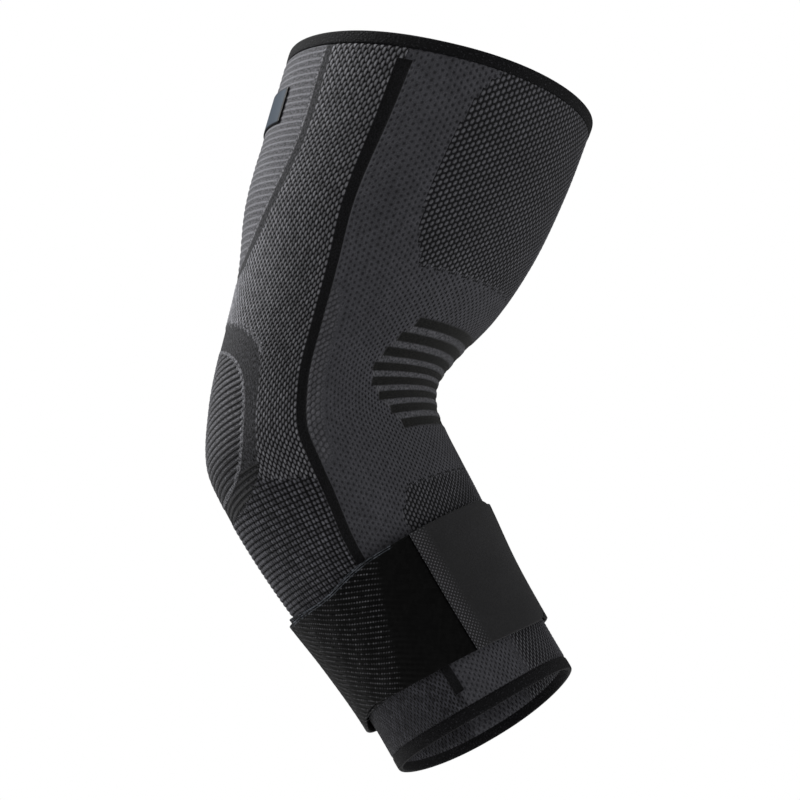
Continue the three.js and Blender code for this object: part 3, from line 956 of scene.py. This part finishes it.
# %% Yarns of the back panel
mixed = melange(tree, wires, "#0b0b0c", "#353538", 2.4, 1.0)
edge_loops = melange(tree, wires, "#2e2e30", "#6c6c70", 1.5, 1.2)
elbow_yarn = melange(tree, wires, "#363638", "#58585c", 0.8, 2.4)
arm_yarn = melange(tree, wires, "#363638", "#525256", 1.0, 1.6)
arm_lines = yarns_and_shade_by_height(tree, wires["arm_rib"], arm_yarn, "#646468", 0.2, 1.0)
# Painted shade: the colour follows each loop's height, so the pale tops and dark gaps stand for the loops'
# rounding and the shade between them as well as for the two yarns. The waffle's bricks below are coloured the
# same way.
panel_yarns_and_shade = yarns_and_shade_by_height(tree, wires["loop1"], GROUND_YARN_AND_SHADE, "#6e6e72", -0.2, 0.95)
relief, colour = lay_zones(tree, wires["loop1"], panel_yarns_and_shade, [
    (wires["brick"], yarns_and_shade_by_height(tree, wires["brick"], "#0d0d0f", "#545459", -0.25, 0.95), wires["waffle"]),
    (wires["plain"], yarns_and_shade_by_height(tree, wires["plain"], "#161618", "#303034"), wires["plain_in"]),
    (0.5, edge_loops, wires["high_outline"]),
    (0.3, mixed, wires["elbow"]),
    (wires["rib"], yarns_and_shade_by_height(tree, wires["rib"], "#0c0c0d", mixed, -1.0, 0.3), wires["low_border"]),
    (0.5, edge_loops, wires["field"]),
    (wires["rib"], yarns_and_shade_by_height(tree, wires["rib"], "#0e0e0f", elbow_yarn, -1.0, -0.15), wires["field_in"]),
    (0.3, mixed, wires["arm_out"]),
    (0.5, edge_loops, wires["arm_in"]),
    (0.4, arm_lines, wires["arm_line"]),
    (0.1, melange(tree, wires, *STRIPE_YARNS), wires["stripe"]),
])
loop_shade, brick_shade = own_shade(tree, wires, "1"), own_shade(tree, wires, "2", BRICK_SHADE)
own = add(tree, "ShaderNodeMix", {0: inside(tree, wires["waffle"]), 2: loop_shade, 3: brick_shade})
own = add(tree, "ShaderNodeMix", {0: inside(tree, wires["patches"]), 2: own, 3: 1.0})
finish_knit(tree, shader, relief, colour, depth=0.7, grain=0.42, own=own)
dress(knit_back, back_near, back_far)

# %% [markdown]
# The front panel is a finer, softer knit with pinholes. Over the biceps and the forearm it opens into a net
# of leaning grey ovals on black. Black bars with thin grey ridges cross the crook, and at the elbow a chain
# of larger loops shows faintly beside the stripe. Its contrast is low, so it looks smooth and thin.

# %% Polyamide and elastane, fine knit: front panel
CHAIN_SHOWS, CHAIN_SOFTNESS, BAR_EDGE, NET_SHADE = 0.35, 0.6, 0.5, 0.12
knit_front, tree, shader = new_material("Polyamide yarn, fine knit with pinholes", roughness=0.85, sheen=0.06)
wires = pattern_wires(tree, "net", "bars", "crook", "stripe", "along", "chain", "open")
work_out(tree, wires, loops_recipe("1", "column", "row", *PINHOLE))
work_out(tree, wires, loops_recipe("2", "column", "row", *NET_LOOP))
work_out(tree, wires, loops_recipe("3", "column", "row", *CHAIN_LOOP))
work_out(tree, wires, [
    ("holes", "MULTIPLY", "loop1", "open"),
    ("solid", "SUBTRACT", 0.2, "holes"),
    ("chained", "SUBTRACT", "chain", CHAIN_SHOWS),
    ("chain_edge", "MULTIPLY", "chained", CHAIN_SOFTNESS),
])
soft_yarns = yarns_and_shade_by_height(tree, wires["solid"], "#18181b", "#3c3c40", -0.8, 0.3)
relief, colour = lay_zones(tree, wires["solid"], soft_yarns, [
    (wires["loop2"], yarns_and_shade_by_height(tree, wires["loop2"], "#101012", "#505054", -0.2, 0.9), wires["net"]),
    (wires["loop3"], yarns_and_shade_by_height(tree, wires["loop3"], "#363639", "#49494d"), wires["chain_edge"]),
    (0.4, melange(tree, wires, "#2e2e30", "#505054", 2.4, 0.8), wires["crook"]),
])
bar_yarns = melange(tree, wires, "#0a0a0a", "#1a1a19")
relief, colour = lay_zones(tree, relief, colour, [(0.2, bar_yarns, wires["bars"])], BAR_EDGE)
stripe_yarns = melange(tree, wires, *STRIPE_YARNS)
relief, colour = lay_zones(tree, relief, colour, [(0.1, stripe_yarns, wires["stripe"])])
own = own_shade(tree, wires, "2", NET_SHADE)
finish_knit(tree, shader, relief, colour, depth=0.45, grain=0.3, own=own)
dress(knit_front, front_near, front_far)

# %% [markdown]
# The hems are knitted double from black yarn, with pale fibres that stand out as specks. The eye sees a
# dense, matt band with a little sparkle of grey.

# %% Polyamide, knitted double: hems
SPECKS_PER_MM = 1.5
hem_knit, tree, shader = new_material("Polyamide yarn, knitted double as a hem", roughness=0.85, sheen=0.03)
wires = pattern_wires(tree, "along")
place = add(tree, "ShaderNodeCombineXYZ", {0: wires["column"], 1: wires["along"]})
specks = add(tree, "ShaderNodeTexNoise", {"Vector": place, "Scale": SPECKS_PER_MM, "Detail": 2.0})
colour = yarns_and_shade_by_height(tree, specks, "#08080a", "#303034", 0.58, 0.75)
finish_knit(tree, shader, specks, colour, depth=0.5, grain=0.4)
dress(hem_knit, top_band, bottom_band)

# %% [markdown]
# The strap is woven from polyester round rubber threads. Its rows slant across the band. Where the first half
# of the band turns to the light, each float of yarn has a small painted glint, a highlight painted into its
# colour. Towards the tab no glints are painted, so it looks plain.
# A highlight of two thin grey lines is painted along its upper edge, as far as that edge faces the light.

# %% Polyester and rubber, woven elastic: strap
PAINTED_GLINT, PAINTED_GLINT_SPREAD = (0.5, 0.48, 0.24, 0.1), 0.8
PAINTED_GLINTS_END, PAINTED_GLINT_SLANT, PAINTED_GLINT_FADE = 252.0, 0.6, 0.05
EDGE_HIGHLIGHT_IN, EDGE_HIGHLIGHTS_APART, EDGE_HIGHLIGHT_HALF, EDGE_HIGHLIGHT_END = 0.55, 0.35, 0.14, 272.0
elastic, tree, shader = new_material("Polyester and rubber, woven elastic", 0.5, sheen=0.0, gloss=0.06)
wires = pattern_wires(tree, "turn", "upper")
sine, cosine = math.sin(WEAVE_SLANT), math.cos(WEAVE_SLANT)
work_out(tree, wires, [
    ("down", "MULTIPLY", "row", cosine),
    ("across", "MULTIPLY_ADD", "column", sine, "down"),
    ("rows", "DIVIDE", "across", WEAVE_ROW),
    ("up", "MULTIPLY", "row", -sine),
    ("beside", "MULTIPLY_ADD", "column", cosine, "up"),
    ("columns", "DIVIDE", "beside", WEAVE_STEP),
    ("last_painted_glint", "MULTIPLY_ADD", "row", PAINTED_GLINT_SLANT, PAINTED_GLINTS_END),
    ("left", "SUBTRACT", "last_painted_glint", "turn"),
    ("painted_glints", "MULTIPLY", "left", PAINTED_GLINT_FADE),
    # Painted highlight: two thin grey lines along the upper edge, ending where the edge turns from the light
    ("from_middle", "SUBTRACT", "upper", EDGE_HIGHLIGHT_IN),
    ("both_highlight_lines", "ABSOLUTE", "from_middle"),
    ("to_highlight_line", "SUBTRACT", "both_highlight_lines", EDGE_HIGHLIGHTS_APART),
    ("off_highlight_line", "ABSOLUTE", "to_highlight_line"),
    ("thread", "SUBTRACT", EDGE_HIGHLIGHT_HALF, "off_highlight_line"),
    ("highlight_line_end", "SUBTRACT", EDGE_HIGHLIGHT_END, "turn"),
    ("painted_edge_highlight", "MINIMUM", "thread", "highlight_line_end"),
])
# Painted highlight: pale glints painted on the weave's floats, only where the band turns to the light.
work_out(tree, wires, loops_recipe("1", "columns", "rows", *PAINTED_GLINT))
relief, colour = lay_zones(tree, 0.0, linear("#030303"), [
    (wires["loop1"], yarns_and_shade_by_height(tree, wires["loop1"], "#030303", "#3b3b3d", 0.1, 1.0), wires["painted_glints"]),
])
# the painted highlight on the upper edge, in pale grey
relief, colour = lay_zones(tree, relief, colour, [(0.3, linear("#3a3d42"), wires["painted_edge_highlight"])], 0.08)
own = own_shade(tree, wires, "1", PAINTED_GLINT_SPREAD)
finish_knit(tree, shader, relief, colour, depth=0.22, grain=0.6, own=own)
dress(elastic, strap)

# %% [markdown]
# The tab is brushed felt, so it is matt and even. Along its seam the ends of a few stitches show as dots.

# %% Polyester, brushed felt: tab
DOT, DOT_COLUMN, DOT_ROW = (0.0, 0.42, 0.27), 0.75, 1.45
DOTS_START, DOTS_FADE, DOT_SHOWS = 0.62, 0.08, 0.2
felt, tree, shader = new_material("Polyester, brushed felt", roughness=0.95, sheen=0.08)
wires = pattern_wires(tree)
work_out(tree, wires, [("rows", "DIVIDE", "row", DOT_ROW), ("columns", "DIVIDE", "column", DOT_COLUMN)])
work_out(tree, wires, loops_recipe("1", "columns", "rows", *DOT))
work_out(tree, wires, [
    ("fades", "MULTIPLY_ADD", "column", -DOTS_FADE, DOTS_START),
    ("fade", "MAXIMUM", "fades", 0.0),
    ("above", "MAXIMUM", "loop1", 0.0),
    ("dots", "MULTIPLY", "above", "fade"),
    ("dot", "SUBTRACT", "dots", DOT_SHOWS),
])
relief, colour = lay_zones(tree, 0.0, linear("#232324"), [(0.3, linear("#505053"), wires["dot"])])
finish_knit(tree, shader, relief, colour, depth=0.25, grain=0.22)
dress(felt, tab)

# %% [markdown]
# The label is a bare strip of blue grey satin with woven black ends and thin dark edges. Satin lies smoother
# than knit, so it is the only cloth here with a soft shine.

# %% Polyester, satin woven: label
SELVEDGE, BLACK_END = 0.45, 1.2
satin, tree, shader = new_material("Polyester, satin woven", roughness=0.4, sheen=0.0, gloss=0.2)
wires = pattern_wires(tree, "edge", "end")
work_out(tree, wires, [("inner", "SUBTRACT", "edge", SELVEDGE), ("face", "SUBTRACT", "end", BLACK_END)])
relief, colour = lay_zones(tree, 0.0, linear("#1a1c20"), [(0.3, linear("#353d46"), wires["inner"])])
share = add(tree, "ShaderNodeMapRange", {0: wires["face"], 1: -0.1, 2: 0.1})
colour = add(tree, "ShaderNodeMix", {0: share, 6: linear("#0b0b0c"), 7: colour}, out=2, data_type="RGBA")
finish_knit(tree, shader, relief, colour, depth=0.1, grain=0.08)
dress(satin, label)

# %% [markdown]
# Seven pieces are cloth: the four panels, the strap, the tab and the label. On the real brace all are held
# stretched: the panels by the arm, the strap by its own pull, the tab and the label by seams.

print("7 cloth pieces and 2 hems are made above")

# %% [markdown]
# The brace floats in front of white, seen from a little below and from an arm's length, so that both its
# openings look curved. The lens is chosen so that 144 mm fit in half the picture at that distance.

# %% Camera
AIM = np.array([27.88, 0.0, -0.02]) / 1000
DISTANCE, PITCH, HALF_VIEW = 0.78, math.radians(9), 0.144
camera_data = bpy.data.cameras.new("camera")
camera_data.sensor_width = 36
camera_data.lens = camera_data.sensor_width / 2 * DISTANCE / HALF_VIEW
camera = bpy.data.objects.new("camera", camera_data)
camera.location = AIM - DISTANCE * np.array([0, math.cos(PITCH), math.sin(PITCH)])
camera.rotation_euler = (math.pi / 2 + PITCH, 0, 0)
bpy.context.scene.collection.objects.link(camera)
bpy.context.scene.camera = camera
print("lens", round(camera_data.lens, 1), "mm at", DISTANCE, "m")

# %% [markdown]
# A pale round floor lies well below the brace and sends a little light up. The world is white where the
# camera looks at it, but gives only a tenth of that as light, so the black yarns stay black. A key light
# comes from the upper left, slightly behind, a wide weak one fills the front, and a rim light marks the
# right edge.

# %% Floor, world and lights
FLOOR_DROP, FLOOR_RADIUS, FLOOR_CORNERS = 0.36, 1.1, 96
WORLD_LIGHT, WORLD_SEEN = 0.1, 1.0
turn = np.linspace(0, 2 * np.pi, FLOOR_CORNERS + 1)[:-1]
floor_mesh = bpy.data.meshes.new("floor")
circle = np.stack([FLOOR_RADIUS * np.cos(turn), FLOOR_RADIUS * np.sin(turn), 0 * turn - FLOOR_DROP], axis=1)
floor_mesh.from_pydata(circle.tolist(), [], [list(range(FLOOR_CORNERS))])
floor = bpy.data.objects.new("floor", floor_mesh)
bpy.context.scene.collection.objects.link(floor)
floor_paint = bpy.data.materials.new("Painted studio floor, matt")
floor_paint.use_nodes = True
floor_paint.node_tree.nodes["Principled BSDF"].inputs["Base Color"].default_value = linear("#e9e9e9")
floor_mesh.materials.append(floor_paint)

world = bpy.data.worlds.new("studio")
world.use_nodes = True
bpy.context.scene.world = world
seen = add(world.node_tree, "ShaderNodeLightPath", {})
strength = add(world.node_tree, "ShaderNodeMapRange", {0: seen, 3: WORLD_LIGHT, 4: WORLD_SEEN})
back_light = world.node_tree.nodes["Background"]
back_light.inputs["Color"].default_value = (1, 1, 1, 1)
world.node_tree.links.new(strength, back_light.inputs["Strength"])
bpy.context.scene.view_settings.view_transform = "Standard"


def soft_box(name, place, power, size):
    """A square area light that faces the elbow: tipped by the angle whose cosine is its share of height."""
    data = bpy.data.lights.new(name, "AREA")
    data.energy, data.size = power, size
    made = bpy.data.objects.new(name, data)
    made.location = place
    towards = -np.array(place) / np.linalg.norm(place)
    made.rotation_euler = (math.acos(-towards[2]), 0, math.atan2(towards[1], towards[0]) - math.pi / 2)
    bpy.context.scene.collection.objects.link(made)


soft_box("key", (-0.8, 0.07, 0.85), 27, 0.5)
soft_box("fill", (-0.2, -1.6, 0.6), 7, 1.0)
soft_box("rim", (1.3, -0.3, 0.3), 9, 0.5)
print("floor, world and 3 soft boxes are set")
